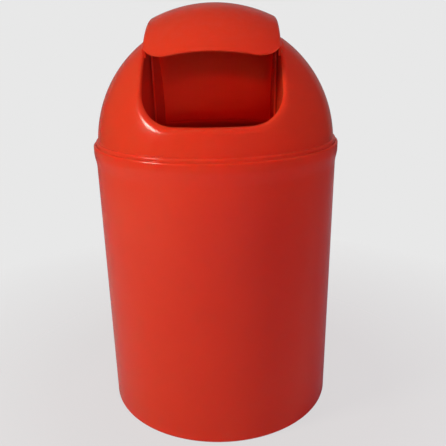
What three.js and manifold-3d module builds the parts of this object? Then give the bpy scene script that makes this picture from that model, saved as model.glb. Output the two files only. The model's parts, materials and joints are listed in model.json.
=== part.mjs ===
// Dome top waste receptacle: a round pail, a dome lid that drops into its rim, and a hood
// that rolls forward over the mouth on two pivot pins. Millimetres, +Z up, mouth towards -Y.
// The origin is the middle of the circle that the pail stands on.
import * as THREE from 'three';
import { mergeVertices } from 'three/addons/utils/BufferGeometryUtils.js';
import Module from 'manifold-3d';

const wasm = await Module();
wasm.setup();

// Pail
const pailHeight = 459;
const pailBaseRadius = 192.5;
const pailTopRadius = 197.5;
const pailWall = 3;
const pailFloor = 3.5;
const pailFloorLift = 6;
const pailEdgeRadius = 5;
const standingRingWidth = 7;
const rimBulge = 3.2;
const rimFlareHeight = 36;
const rimCrestDrop = 11;
const rimWall = 3.4;
const rimSocketDepth = 19;

// Dome lid
const domeStepIn = 3.3;
const domeExtraRise = 4.5;
const domeCentreDrop = 5.5;
const domeWall = 3;
const footHeight = 24.5;
const footWall = 3;
const footTaper = 6;
const webWall = 3;
const webMargin = 6;
const mouthHalfWidth = 100.4;
const mouthSill = 50.9;
const mouthCornerRadius = 48;
const lipDepth = 12;
const lipWall = 3;
const crownSlotLength = 67;
const crownSlotCornerRadius = 20;

// Hood, with its angles counted about the pivot from straight ahead, up and over to the back
const hoodStandOff = 21;
const hoodWall = 3;
const hoodShoulderRadius = 9;
const hoodFrontCornerRadius = 42;
const hoodRearCornerRadius = 18;
const hoodFrontAngle = 44.1;
const hoodTravel = 33;
const hoodRearCover = 7.2;
const armFrontAngle = 80;
const armRearAngle = 98;
const armHubRadius = 16;

// Pivots and stops
const pinRadius = 4.5;
const pinHeadRadius = 9;
const pinHeadThickness = 2.6;
const pinTail = 2.4;
const pinChamfer = 1;
const grooveDepth = 1.2;
const bushWall = 2.4;
const bushFlangeWidth = 3;
const bushFlangeThickness = 1;
const bossRadius = 14;
const bossHeight = 6;
const clipRadius = 9;
const clipThickness = 1.2;
const stopLength = 16;
const stopWidth = 5;
const stopGap = 3;

// Clearances
const lidFit = 0.6;
const seatGap = 0.3;
const pivotGap = 0.3;
const hoodRunningGap = 1.5;

// Steps of the round shapes
const turnSteps = 64;
const hoodTurnSteps = 72;
const pinSteps = 20;
const arcSteps = 4;
const domeSteps = 10;

// Cutting shapes run on past what they cut by reach, the hood's hollow past its front edge by
// hollowLead (degrees), and joined shapes run into each other by overlap
const reach = 300;
const hollowLead = 45;
const overlap = 1;
const mergeDistance = 1e-4;

// Derived places
const domeCentre = pailHeight - domeCentreDrop;
const socketRadius = pailTopRadius + rimBulge - rimWall;
const ledgeHeight = pailHeight - rimSocketDepth;
const footRadius = socketRadius - lidFit;
const footBottom = ledgeHeight + seatGap;
const footTop = footBottom + footHeight;
const domeRadius = footRadius - domeStepIn;
const domeRise = domeRadius + domeExtraRise;
const webBottom = domeCentre - bossRadius - webMargin;
const sideGap = bushFlangeThickness + 2 * pivotGap;
const hoodHalfWidth = mouthHalfWidth - sideGap;
const armInner = hoodHalfWidth - hoodWall;
const hoodRadius = domeRise + hoodStandOff;
const bossEnd = mouthHalfWidth + webWall + bossHeight;
const pinBoreRadius = pinRadius + pivotGap;
const bushRadius = pinBoreRadius + bushWall;
const stopDistance = armHubRadius + stopGap;

// Colours
const shellRed = new THREE.Color(0xd0392a);
const pivotGrey = new THREE.Color(0xc9c6bd);
const clipSteel = new THREE.Color(0xb4b7ba);
const glossyPlastic = { color: shellRed, roughness: 0.25, metalness: 0 };
const nylon = { color: pivotGrey, roughness: 0.5, metalness: 0 };
const springSteel = { color: clipSteel, roughness: 0.35, metalness: 1 };

const radians = THREE.MathUtils.degToRad;
const degrees = THREE.MathUtils.radToDeg;

// Angle about the pivot of the rear end of the crown slot, and the hood's own rear edge
const slotRearAngle = 180 - degrees(Math.acos(crownSlotLength / domeRadius));
const hoodRearAngle = slotRearAngle + hoodTravel + hoodRearCover;

// Points of an elliptic arc, both ends included, with angles in degrees.
function arc(centreX, centreY, radiusX, radiusY, from, to, steps) {
  const points = [];
  for (let i = 0; i <= steps; i += 1) {
    const angle = radians(from + ((to - from) * i) / steps);
    points.push([centreX + radiusX * Math.cos(angle), centreY + radiusY * Math.sin(angle)]);
  }
  return points;
}

// A closed geometry as a solid: shared corners merged, slivers dropped, faces pointing out.
function solid(geometry) {
  const bare = geometry.index ? geometry.toNonIndexed() : geometry.clone();
  bare.deleteAttribute('normal');
  bare.deleteAttribute('uv');
  const merged = mergeVertices(bare, mergeDistance);
  const position = merged.getAttribute('position');
  const corners = Array.from(merged.index.array);
  const faces = [];
  let volume = 0;
  for (let i = 0; i < corners.length; i += 3) {
    const [a, b, c] = corners.slice(i, i + 3);
    if (a === b || b === c || c === a) continue;
    faces.push([a, b, c]);
    const [p, q, r] = [a, b, c].map((v) => new THREE.Vector3().fromBufferAttribute(position, v));
    volume += p.dot(q.cross(r));
  }
  const triVerts = new Uint32Array(faces.flatMap((f) => (volume < 0 ? [f[0], f[2], f[1]] : f)));
  const vertProperties = new Float32Array(position.array);
  return new wasm.Manifold(new wasm.Mesh({ numProp: 3, vertProperties, triVerts }));
}

// A profile of [radius, height] points turned about the Z axis.
function turnedZ(profile) {
  const points = profile.map(([r, z]) => new THREE.Vector2(r, z));
  return solid(new THREE.LatheGeometry(points, turnSteps).rotateX(Math.PI / 2));
}

// A profile of [radius, x] points turned about the pivot axis, which lies along X.
function turnedX(profile, steps) {
  const points = profile.map(([r, x]) => new THREE.Vector2(r, x));
  const geometry = new THREE.LatheGeometry(points, steps).rotateZ(-Math.PI / 2);
  return solid(geometry.translate(0, 0, domeCentre));
}

function closed(profile) {
  return [...profile, profile[0]];
}

// An outline extruded along its own +Z, to be turned into place afterwards.
function plate(outline, thickness) {
  const shape = new THREE.Shape(outline.map(([x, y]) => new THREE.Vector2(x, y)));
  return new THREE.ExtrudeGeometry(shape, { depth: thickness, bevelEnabled: false });
}

// A box from its lowest to its highest corner.
function block(low, high) {
  const size = high.map((value, axis) => value - low[axis]);
  const middle = high.map((value, axis) => (value + low[axis]) / 2);
  return solid(new THREE.BoxGeometry(...size).translate(...middle));
}

// A round rod on the pivot axis, between two places along X.
function rod(radius, start, end) {
  return turnedX([[0, start], [radius, start], [radius, end], [0, end]], pinSteps);
}

// Turns a plate drawn as [forward, up] about the pivot to stand with its outer face at x.
function upright(geometry, x) {
  return geometry.rotateX(Math.PI / 2).rotateZ(-Math.PI / 2).translate(x, 0, domeCentre);
}

// A shape modelled for the right side, or its mirror image for the left side.
function sided(shape, side) {
  return side > 0 ? shape : shape.mirror([1, 0, 0]);
}

function joined(parts) {
  return parts.reduce((sum, part) => sum.add(part));
}

function makeMesh(name, shape, finish) {
  const { vertProperties, triVerts } = shape.getMesh();
  const geometry = new THREE.BufferGeometry();
  geometry.setAttribute('position', new THREE.BufferAttribute(vertProperties, 3));
  geometry.setIndex(new THREE.BufferAttribute(triVerts, 1));
  geometry.computeVertexNormals();
  const mesh = new THREE.Mesh(geometry, new THREE.MeshStandardMaterial(finish));
  mesh.name = name;
  return mesh;
}

// Smooth swelling of the pail's wall from start up to the rim's crest.
function rimFlare(start, crest) {
  const points = [];
  for (let i = 0; i <= 2 * arcSteps; i += 1) {
    const share = i / (2 * arcSteps);
    const swell = (rimBulge * (1 - Math.cos(Math.PI * share))) / 2;
    points.push([pailTopRadius + swell, start + (crest - start) * share]);
  }
  return points;
}

// Pail: floor lifted off the ground inside a standing ring, slightly tapered wall, and a rim
// that swells outwards round the socket where the lid's foot stands on a ledge. The rim's top is
// rounded over its whole wall.
function makePail() {
  const crestHeight = pailHeight - rimCrestDrop;
  const flareStart = pailHeight - rimFlareHeight;
  const ringOuter = pailBaseRadius - pailEdgeRadius;
  const ringInner = ringOuter - standingRingWidth;
  const innerBase = pailBaseRadius - pailWall;
  return turnedZ([
    [0, pailFloorLift],
    [ringInner - pailFloorLift, pailFloorLift],
    [ringInner, 0],
    ...arc(ringOuter, pailEdgeRadius, pailEdgeRadius, pailEdgeRadius, -90, 0, arcSteps),
    ...rimFlare(flareStart, crestHeight),
    ...arc(socketRadius, pailHeight - rimWall, rimWall, rimWall, 0, 90, arcSteps),
    [socketRadius, ledgeHeight],
    [pailTopRadius - pailWall, ledgeHeight],
    [pailTopRadius - pailWall, flareStart],
    [innerBase, pailFloorLift + pailFloor + pailEdgeRadius],
    [innerBase - pailEdgeRadius, pailFloorLift + pailFloor],
    [0, pailFloorLift + pailFloor],
  ]);
}

// The dome as a filled body, shrunk by inset, standing on a cylinder that ends at bottom.
function domeFilled(inset, bottom) {
  const radius = domeRadius - inset;
  return turnedZ([
    [0, bottom],
    [radius, bottom],
    ...arc(0, domeCentre, radius, domeRise - inset, 0, 90, domeSteps),
  ]);
}

// Dome shell with the foot that drops into the pail's socket and ends in a rounded shoulder
// above the rim.
function domeShell() {
  const shoulderAngle = degrees(Math.asin((footTop - domeCentre) / domeRise));
  const shoulder = domeStepIn;
  const inside = domeRadius - domeWall;
  const footInside = footRadius - footWall;
  return turnedZ([
    ...arc(0, domeCentre, domeRadius, domeRise, 90, shoulderAngle, domeSteps),
    ...arc(domeRadius, footTop - shoulder, shoulder, shoulder, 90, 0, arcSteps),
    [footRadius, footBottom],
    [footInside, footBottom],
    [footInside, footTop - footTaper],
    [inside, footTop],
    ...arc(0, domeCentre, inside, domeRise - domeWall, shoulderAngle, 90, domeSteps),
  ]);
}

// Outline of the mouth seen from the front, grown by margin, as [x, z] points.
function mouthOutline(margin) {
  const half = mouthHalfWidth + margin;
  const sill = domeCentre + mouthSill - margin;
  const corner = mouthCornerRadius + margin;
  return [
    ...arc(corner - half, sill + corner, corner, corner, 180, 270, 2 * arcSteps),
    ...arc(half - corner, sill + corner, corner, corner, 270, 360, 2 * arcSteps),
    [half, domeCentre + reach],
    [-half, domeCentre + reach],
  ];
}

function mouthPrism(margin) {
  return solid(plate(mouthOutline(margin), reach).rotateX(Math.PI / 2));
}

// The mouth runs on over the crown as a slot, which the hood covers.
function crownSlot() {
  const corner = crownSlotCornerRadius;
  const inner = mouthHalfWidth - corner;
  const outline = [
    [-mouthHalfWidth, -overlap],
    [mouthHalfWidth, -overlap],
    ...arc(inner, crownSlotLength - corner, corner, corner, 0, 90, arcSteps),
    ...arc(-inner, crownSlotLength - corner, corner, corner, 90, 180, arcSteps),
  ];
  return solid(plate(outline, reach).translate(0, 0, domeCentre + mouthSill));
}

// Rolled-in lip: a band round the mouth, as deep as lipDepth behind the dome's surface.
function mouthLip() {
  const band = mouthPrism(lipWall).subtract(mouthPrism(0));
  const skin = domeFilled(0, domeCentre).subtract(domeFilled(lipDepth, domeCentre - overlap));
  return band.intersect(skin);
}

// Flat wall on one side of the throat, with the boss that holds a pivot pin.
function sideWeb(side) {
  const outerFace = mouthHalfWidth + webWall;
  const wall = block(
    [mouthHalfWidth, -reach, webBottom],
    [outerFace, reach, domeCentre + reach],
  );
  const boss = rod(bossRadius, outerFace - overlap, bossEnd);
  const bore = rod(pinBoreRadius, armInner, bossEnd + overlap);
  return sided(wall.intersect(domeFilled(domeWall / 2, webBottom)).add(boss).subtract(bore), side);
}

// Rib on a web that an arm of the hood comes to rest against. The arm's edge points along
// angle, and the rib lies behind it (+1) or before it (-1).
function stopRib(angle, beyond, side) {
  const near = beyond > 0 ? seatGap : -seatGap - stopWidth;
  const outline = [
    [stopDistance, near],
    [stopDistance + stopLength, near],
    [stopDistance + stopLength, near + stopWidth],
    [stopDistance, near + stopWidth],
  ];
  const rib = plate(outline, sideGap + hoodWall + overlap).rotateZ(radians(angle));
  return sided(solid(upright(rib, mouthHalfWidth + overlap)), side);
}

function makeDomeLid() {
  const shell = domeShell().add(mouthLip()).subtract(mouthPrism(0)).subtract(crownSlot());
  const sides = [-1, 1].flatMap((side) => [
    sideWeb(side),
    stopRib(armRearAngle, 1, side),
    stopRib(armFrontAngle - hoodTravel, -1, side),
  ]);
  return joined([shell, ...sides]);
}

// Barrel of the hood about the pivot axis, filled, inset from its outer face.
function hoodBarrel(inset) {
  const half = hoodHalfWidth - inset;
  const radius = hoodRadius - inset;
  const round = hoodShoulderRadius - inset;
  const shoulder = Math.sqrt((radius - round) ** 2 - (half - round) ** 2);
  const slope = degrees(Math.asin((half - round) / (radius - round)));
  return turnedX(
    [
      [0, -half],
      ...arc(shoulder, round - half, round, round, -90, -slope, arcSteps),
      ...arc(0, 0, radius, radius, -slope, slope, domeSteps).slice(1, -1),
      ...arc(shoulder, half - round, round, round, slope, 90, arcSteps),
      [0, half],
    ],
    hoodTurnSteps,
  );
}

// Everything on one side of a plane through the pivot axis, with rounded corners. The plane
// stands at angle, moved by inset into the kept side, behind it (+1) or before it (-1).
function hoodKeeper(angle, beyond, corner, inset) {
  const half = hoodHalfWidth + overlap - inset;
  const outline = [
    ...arc(corner - half, inset + corner, corner, corner, 180, 270, 2 * arcSteps),
    ...arc(half - corner, inset + corner, corner, corner, 270, 360, 2 * arcSteps),
    [half, reach],
    [-half, reach],
  ];
  const geometry = plate(outline, reach);
  if (beyond < 0) geometry.scale(1, -1, 1);
  return solid(geometry.rotateX(radians(90 - angle)).translate(0, 0, domeCentre));
}

// Distance from the pivot axis that clears the dome at x as the hood turns.
function clearOfDome(x) {
  return domeRise * Math.sqrt(1 - (x / domeRadius) ** 2) + hoodRunningGap;
}

// Space that the dome takes under the hood, turned about the pivot axis.
function domeClearance() {
  const half = hoodHalfWidth + overlap;
  const profile = [[0, -half]];
  for (let i = -domeSteps; i <= domeSteps; i += 1) {
    const x = (half * i) / domeSteps;
    profile.push([clearOfDome(x), x]);
  }
  profile.push([0, half]);
  return turnedX(profile, hoodTurnSteps);
}

// Arm of the hood: a sector from the skirt to a hub that turns on the pivot bush.
function hoodArm(side) {
  const end = clearOfDome(armInner) + hoodWall;
  const outline = [[0, 0], ...arc(0, 0, end, end, armFrontAngle, armRearAngle, arcSteps)];
  const sector = solid(upright(plate(outline, hoodWall), hoodHalfWidth));
  const hub = rod(armHubRadius, armInner, hoodHalfWidth);
  const bore = rod(bushRadius + pivotGap, armInner - overlap, hoodHalfWidth + overlap);
  return sided(sector.add(hub).subtract(bore), side);
}

// Hood: a shell that is open in front and closed at the back, with skirts down to the dome
// and an arm on each side.
function makeHood() {
  const rear = hoodKeeper(hoodRearAngle, -1, hoodRearCornerRadius, 0);
  const kept = hoodKeeper(hoodFrontAngle, 1, hoodFrontCornerRadius, 0).add(rear);
  const hollowRear = hoodKeeper(hoodRearAngle, -1, hoodRearCornerRadius, hoodWall);
  const hollowFront = hoodKeeper(hoodFrontAngle - hollowLead, 1, hoodFrontCornerRadius, 0);
  const hollow = hollowFront.add(hollowRear);
  const shell = hoodBarrel(0).intersect(kept)
    .subtract(hoodBarrel(hoodWall).intersect(hollow))
    .subtract(domeClearance());
  return joined([shell, hoodArm(-1), hoodArm(1)]);
}

// Pivot pin: head inside the hood's arm, shank through arm and boss, groove for the clip.
function makePin(side) {
  const headFace = armInner - pivotGap;
  const grooveStart = bossEnd + pivotGap;
  const grooveEnd = grooveStart + clipThickness + 2 * pivotGap;
  const profile = [
    [0, headFace - pinHeadThickness],
    [pinHeadRadius - pinChamfer, headFace - pinHeadThickness],
    [pinHeadRadius, headFace - pinHeadThickness + pinChamfer],
    [pinHeadRadius, headFace],
    [pinRadius, headFace],
    [pinRadius, grooveStart],
    [pinRadius - grooveDepth, grooveStart],
    [pinRadius - grooveDepth, grooveEnd],
    [pinRadius, grooveEnd],
    [pinRadius, grooveEnd + pinTail - pinChamfer],
    [pinRadius - pinChamfer, grooveEnd + pinTail],
    [0, grooveEnd + pinTail],
  ];
  return turnedX(profile.map(([r, x]) => [r, side * x]), pinSteps);
}

// Flanged bush: barrel in the arm's bore, flange between the arm and the web.
function makeBush(side) {
  const flangeStart = hoodHalfWidth + pivotGap;
  const flangeEnd = flangeStart + bushFlangeThickness;
  const profile = closed([
    [pinBoreRadius, armInner],
    [bushRadius, armInner],
    [bushRadius, flangeStart],
    [bushRadius + bushFlangeWidth, flangeStart],
    [bushRadius + bushFlangeWidth, flangeEnd],
    [pinBoreRadius, flangeEnd],
  ]);
  return turnedX(profile.map(([r, x]) => [r, side * x]), pinSteps);
}

// Retaining clip in the pin's groove, against the end of the boss.
function makeClip(side) {
  const start = bossEnd + 2 * pivotGap;
  const inner = pinRadius - grooveDepth + pivotGap;
  const profile = closed([
    [inner, start],
    [clipRadius, start],
    [clipRadius, start + clipThickness],
    [inner, start + clipThickness],
  ]);
  return turnedX(profile.map(([r, x]) => [r, side * x]), pinSteps);
}

const receptacle = new THREE.Group();
receptacle.add(makeMesh('pail', makePail(), glossyPlastic));
receptacle.add(makeMesh('dome_lid', makeDomeLid(), glossyPlastic));
receptacle.add(makeMesh('hood', makeHood(), glossyPlastic));
for (const [label, side] of [['left', -1], ['right', 1]]) {
  receptacle.add(makeMesh(`${label}_pivot_pin`, makePin(side), nylon));
  receptacle.add(makeMesh(`${label}_pivot_bush`, makeBush(side), nylon));
  receptacle.add(makeMesh(`${label}_retaining_clip`, makeClip(side), springSteel));
}

export default receptacle;
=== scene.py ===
"""Dome top waste receptacle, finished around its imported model.

Builds the pail, the dome lid, the roll-back hood and the pivot hardware, each with its own
moulded or turned surface, and sets a plain studio. Metres, +Z up, the mouth faces -Y.
"""

import json
import math

import bpy
from bpy.props import FloatProperty, FloatVectorProperty, IntProperty, PointerProperty
from bpy.types import Operator, Panel, PropertyGroup
from mathutils import Matrix, Vector


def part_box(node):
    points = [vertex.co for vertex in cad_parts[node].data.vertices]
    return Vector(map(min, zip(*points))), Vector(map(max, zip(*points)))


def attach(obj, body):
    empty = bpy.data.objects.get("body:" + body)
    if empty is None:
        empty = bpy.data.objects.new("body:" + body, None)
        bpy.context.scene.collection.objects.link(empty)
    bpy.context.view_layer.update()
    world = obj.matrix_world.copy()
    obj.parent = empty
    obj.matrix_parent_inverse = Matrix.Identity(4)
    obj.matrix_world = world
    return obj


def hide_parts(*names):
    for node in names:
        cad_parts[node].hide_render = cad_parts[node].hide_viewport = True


bl_info = {
    "name": "Dome Top Waste Receptacle",
    "version": (1, 0, 0),
    "blender": (4, 5, 0),
    "location": "3D View > Sidebar > Receptacle",
    "description": "Builds a round waste receptacle with a dome lid and a roll-back hood",
    "category": "Object",
}

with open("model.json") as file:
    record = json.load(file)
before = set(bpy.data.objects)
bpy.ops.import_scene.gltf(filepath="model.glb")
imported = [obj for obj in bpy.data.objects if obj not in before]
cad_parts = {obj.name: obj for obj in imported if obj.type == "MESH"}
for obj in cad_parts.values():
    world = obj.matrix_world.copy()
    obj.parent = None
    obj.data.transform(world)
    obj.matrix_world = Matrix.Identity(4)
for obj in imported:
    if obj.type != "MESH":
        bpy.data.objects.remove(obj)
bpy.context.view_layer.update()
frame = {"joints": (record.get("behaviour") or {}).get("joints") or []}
PAIL_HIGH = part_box("pail")[1]
LID_LOW, LID_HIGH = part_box("dome_lid")
HOOD_LOW, HOOD_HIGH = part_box("hood")
PIN_LOW, PIN_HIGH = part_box("right_pivot_pin")
BUSH_LOW, BUSH_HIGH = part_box("right_pivot_bush")
CLIP_LOW, CLIP_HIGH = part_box("right_retaining_clip")
HINGE = next(joint for joint in frame["joints"] if joint["name"] == "hood_roll")
PIVOT = Vector(HINGE["pos_m"])
FULL_TURN = 2 * math.pi
QUARTER_TURN = math.pi / 2

# Distances, counts and angles that steer the modelling, and aren't sizes of the object
TURNED_MERGE = 1e-5
DRAPED_MERGE = 1e-6
DRILL_OVERSHOOT = 0.01
EDGE_SEGMENTS = 3
SHARP_ANGLE = math.radians(60)
SMOOTH_ANGLE = math.radians(35)

# Where the side walls draw back behind the lip's roll: shares of the mouth's corner radius above
# the sill, and shares of the slot's corner radius ahead of its rear edge
WEB_FRONT_BAND = (0.61, 0.71)
WEB_REAR_BAND = (0.36, 0.54)

# Degrees about the pivot, from straight ahead, over which the side walls are drawn
WEB_SWEEP = (-8, 188)

# Names of the finishes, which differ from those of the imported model's own materials
PAIL_FINISH, LID_FINISH, HOOD_FINISH = "shell_red_pail", "shell_red_lid", "shell_red_hood"
NYLON_FINISH, STEEL_FINISH = "grained_nylon", "plated_steel"


def length(name, description, default):
    return FloatProperty(name=name, description=description, default=default, min=0, unit="LENGTH")


def angle(name, description, degrees):
    return FloatProperty(
        name=name, description=description, default=math.radians(degrees), unit="ROTATION"
    )


def share(name, description, default):
    return FloatProperty(
        name=name, description=description, default=default, min=0, max=1, subtype="FACTOR"
    )


def colour(name, description, default):
    return FloatVectorProperty(
        name=name, description=description, default=default, size=3, min=0, max=1, subtype="COLOR"
    )


def amount(name, description, default):
    return FloatProperty(name=name, description=description, default=default, min=0)


# Sizes, colours and studio settings


class PailSizes(PropertyGroup):
    """Sizes of the pail, counted from the floor"""

    height: length("Height", "Floor to the top of the rim", PAIL_HIGH.z)
    crest_radius: length("Crest radius", "Radius of the rim's crest", PAIL_HIGH.x)
    base_radius: length("Base radius", "Radius of the wall at the floor", 0.1925)
    top_radius: length("Top radius", "Radius of the wall under the rim", 0.1975)
    wall: length("Wall", "Thickness of the wall", 0.003)
    rim_wall: length("Rim wall", "Thickness of the rim at its crest", 0.0034)
    bottom: length("Bottom", "Thickness of the bottom", 0.0035)
    bottom_lift: length("Bottom lift", "Gap under the bottom", 0.006)
    edge_radius: length("Edge radius", "Rounding of the bottom edge", 0.005)
    ring_width: length("Ring width", "Width of the ring it stands on", 0.007)
    ring_edge: length("Ring edge", "Rounding of that ring's inner edge", 0.001)
    flare_height: length("Flare height", "Height of the rim's swelling", 0.036)
    crest_drop: length("Crest drop", "Crest below the top of the rim", 0.011)
    lip: length("Lip", "Rounding at the mouth of the socket", 0.0004)
    socket_depth: length("Socket depth", "Depth of the ledge for the lid", 0.019)


class LidSizes(PropertyGroup):
    """Sizes of the dome lid, with heights counted from the dome's centre"""

    foot_radius: length("Foot radius", "Radius of the foot in the rim", LID_HIGH.x)
    foot_bottom: length("Foot bottom", "Foot below the dome's centre", 0.0132)
    foot_height: length("Foot height", "Height of the foot with its shoulder", 0.0245)
    shoulder: length("Shoulder", "Rounding of the foot's top edge", 0.003)
    hollow: length("Hollow", "Rounding between the dome and the shoulder", 0.0006)
    radius: length("Dome radius", "Radius of the dome at its centre", 0.1934)
    rise: length("Dome rise", "Dome above its centre", 0.1979)
    wall: length("Wall", "Thickness of the dome", 0.0027)
    mouth_half_width: length("Mouth half width", "Middle to the side of the mouth", 0.1004)
    sill: length("Sill", "Lowest edge of the mouth", 0.0509)
    corner_radius: length("Corner radius", "Lower corners of the mouth", 0.048)
    slot_length: length("Slot length", "Opening of the crown behind the centre", 0.067)
    slot_corner: length("Slot corner", "Rear corners of the crown opening", 0.020)
    roll: length("Lip roll", "Rounding of the mouth's edge", 0.008)
    roll_swell: share("Roll swell", "How much wider the roll is at the lower corners", 0.7)
    lip_depth: length("Lip depth", "Depth of the rolled-in lip", 0.012)
    web_wall: length("Web wall", "Thickness of the side walls", 0.003)
    boss_radius: length("Boss radius", "Radius of the bosses for the pivot pins", 0.014)
    boss_height: length("Boss height", "How far the bosses stand out", 0.006)
    boss_edge: length("Boss edge", "Rounding of the bosses", 0.001)
    boss_sink: length("Boss sink", "How far the bosses reach into the side walls", 0.0005)


class HoodSizes(PropertyGroup):
    """Sizes of the hood, with angles counted about the pivot from straight ahead"""

    half_width: length("Half width", "Middle to the side", HOOD_HIGH.x)
    radius: length("Radius", "Pivot to the crown", HOOD_HIGH.z - PIVOT.z)
    wall: length("Wall", "Thickness of the hood", 0.003)
    shoulder_radius: length("Shoulder radius", "Rounding of the long edges", 0.009)
    front_corner: length("Front corner", "Corners of the front edge", 0.042)
    rear_corner: length("Rear corner", "Corners of the rear edge", 0.018)
    rear_roll: length("Rear roll", "Rounding of the rear edge", 0.005)
    side_margin: length("Side margin", "Corner arcs run this far past the sides", 0.001)
    running_gap: length("Running gap", "Gap over the dome", 0.0015)
    edge_bevel: length("Edge bevel", "Rounding of the free edges", 0.0007)
    front: angle("Front", "Front edge", 44.1)
    rear: angle("Rear", "Rear edge", 150.5)
    arm_front: angle("Arm front", "Front edge of the arms", 80)
    arm_rear: angle("Arm rear", "Rear edge of the arms", 98)
    hub_radius: length("Hub radius", "Round end of the arms", 0.016)


class PivotSizes(PropertyGroup):
    """Sizes of the pins, bushes, clips and stops"""

    shank: length("Shank radius", "Radius of the pin", 0.0045)
    groove: length("Groove", "Depth of the clip's groove", 0.0012)
    head: length("Head thickness", "Thickness of the pin's head", 0.0026)
    head_dome: length("Head dome", "Rounding of the pin's head", 0.0012)
    tail: length("Tail", "Pin beyond the groove", 0.0024)
    tip_edge: length("Tip edge", "Rounding of the pin's tip", 0.001)
    gap: length("Gap", "Clearance of turning pieces", 0.0003)
    flange_thickness: length("Flange thickness", "Thickness of the bush's flange", 0.001)
    flange_width: length("Flange width", "How far the flange stands out", 0.003)
    edge: length("Edge", "Rounding of the small edges", 0.0003)
    stop_start: length("Stop start", "Pivot to the stop ribs", 0.019)
    stop_length: length("Stop length", "Length of the stop ribs", 0.016)
    stop_width: length("Stop width", "Width of the stop ribs", 0.005)
    stop_edge: length("Stop edge", "Rounding of the stop ribs", 0.0006)


class FinishSettings(PropertyGroup):
    """Colours and surfaces"""

    shell: colour("Shell colour", "Glossy plastic of the three shells", (0.88, 0.064, 0.019))
    shell_deep: colour("Deep shell colour", "The same plastic where it is richer", (0.84, 0.058, 0.018))
    shell_scuff: colour("Scuff colour", "Rubbed places on the plastic", (0.70, 0.10, 0.065))
    shell_roughness: share("Shell roughness", "Roughness of the plastic", 0.18)
    gloss_spread: share("Gloss spread", "How far the roughness varies to each side", 0.02)
    shell_index: amount("Shell index", "Refractive index of the plastic", 1.49)
    shell_shine: share("Shell shine", "Strength of the plastic's reflections", 0.35)
    shell_ripple: length("Shell ripple", "Height of the plastic's ripple", 0.000006)
    glow: share("Glow", "How much light goes into the plastic", 0.85)
    glow_depth: length("Glow depth", "How far that light spreads", 0.008)
    glow_colour: colour("Glow colour", "How far each colour spreads", (1.0, 0.12, 0.08))
    rubbing_tint: share("Rubbing tint", "How much rubbed places change the colour", 0.10)
    rubbing_dulls: share("Rubbing dulls", "Roughness that rubbed places add", 0.06)
    dust: colour("Dust colour", "Dust that has settled", (0.6, 0.5, 0.45))
    dust_tint: share("Dust tint", "How much dust changes the colour", 0.04)
    dust_dulls: share("Dust dulls", "Roughness that dust adds", 0.03)
    scratch_dulls: share("Scratch dulls", "Roughness that scratches add", 0.06)
    scratch_depth: share("Scratch depth", "Depth of scratches in the ripple", 0.02)
    nylon: colour("Nylon colour", "Pins and bushes", (0.58, 0.56, 0.50))
    nylon_deep: share("Nylon depth", "Darker patches of the nylon", 0.86)
    nylon_grain: length("Nylon grain", "Height of the nylon's grain", 0.00003)
    steel: colour("Steel colour", "Retaining clips", (0.60, 0.62, 0.64))
    steel_deep: share("Steel depth", "Darker patches of the steel", 0.8)
    steel_grain: length("Steel grain", "Height of the steel's grain", 0.00002)
    spangle: colour("Spangle colour", "Spangles of the plating", (0.42, 0.44, 0.47))


class StudioSettings(PropertyGroup):
    """Camera, lamps and background"""

    distance: length("Camera distance", "Camera to the middle of the pail", 0.987)
    height: length("Camera height", "Camera above the floor", 0.631)
    turn: angle("Camera turn", "Camera round the receptacle", 1.65)
    pan: angle("Camera pan", "Camera turned to the right", 0.55)
    tilt: angle("Camera tilt", "Camera turned down", 18.05)
    roll: angle("Camera roll", "Camera rolled", -1.05)
    lens: FloatProperty(name="Lens", description="Focal length", default=47.8, unit="CAMERA")
    background: colour("Background", "Backdrop as it renders", (0.807, 0.807, 0.807))
    floor: colour("Floor", "Floor near the receptacle", (0.52, 0.52, 0.52))
    floor_lift: share("Floor lift", "How far the floor's shadows are lightened", 0.8)
    floor_radius: length("Floor radius", "Round floor under the receptacle", 3.0)
    floor_tooth: share("Floor tooth", "Darker grain of the floor", 0.985)
    fade_start: length("Fade start", "Distance at which the floor begins to fade", 0.30)
    fade_end: length("Fade end", "Distance at which it has faded away", 0.85)
    dim: share("Dim side", "Room that the gloss mirrors on the camera's side", 0.05)
    wall_light: share("Wall light", "The same room straight behind the receptacle", 0.25)
    wall_start: share("Wall start", "How straight behind that wall begins", 0.75)
    key_power: amount("Key", "Lamp at the front left", 21)
    key_colour: colour("Key colour", "Colour of the key lamp", (1.0, 0.93, 0.80))
    top_power: amount("Top lamp", "Wide lamp over the receptacle", 4.5)
    top_colour: colour("Top colour", "Colour of the top lamp", (1.0, 0.75, 0.80))
    mouth_power: amount("Mouth lamp", "Narrow beam into the mouth", 0.038)
    mouth_colour: colour("Mouth colour", "Colour of the mouth lamp", (0.9, 1.0, 1.0))
    front_power: amount("Front fill", "Wide lamp level with the camera", 5.2)
    front_colour: colour("Front colour", "Colour of the front fill", (1.0, 0.40, 0.90))
    side_power: amount("Side lamp", "Lamp at the right", 2.5)
    side_colour: colour("Side colour", "Colour of the side lamp", (1.0, 0.50, 0.50))
    back_power: amount("Back lamp", "Lamp behind the receptacle", 9)
    back_colour: colour("Back colour", "Colour of the back lamp", (1.0, 0.65, 0.70))
    ambient: amount("Ambient", "Strength of the room light", 0.18)
    room_colour: colour("Room colour", "Colour of the room light", (1.0, 0.60, 0.75))


class ReceptacleSettings(PropertyGroup):
    """Everything that the receptacle's operators read"""

    pail: PointerProperty(type=PailSizes)
    lid: PointerProperty(type=LidSizes)
    hood: PointerProperty(type=HoodSizes)
    pivot: PointerProperty(type=PivotSizes)
    finish: PointerProperty(type=FinishSettings)
    studio: PointerProperty(type=StudioSettings)
    turn_steps: IntProperty(name="Turn steps", description="Steps of a full turn", default=256)
    small_steps: IntProperty(name="Small steps", description="Steps of small turned pieces", default=64)


# Modelling helpers


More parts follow.
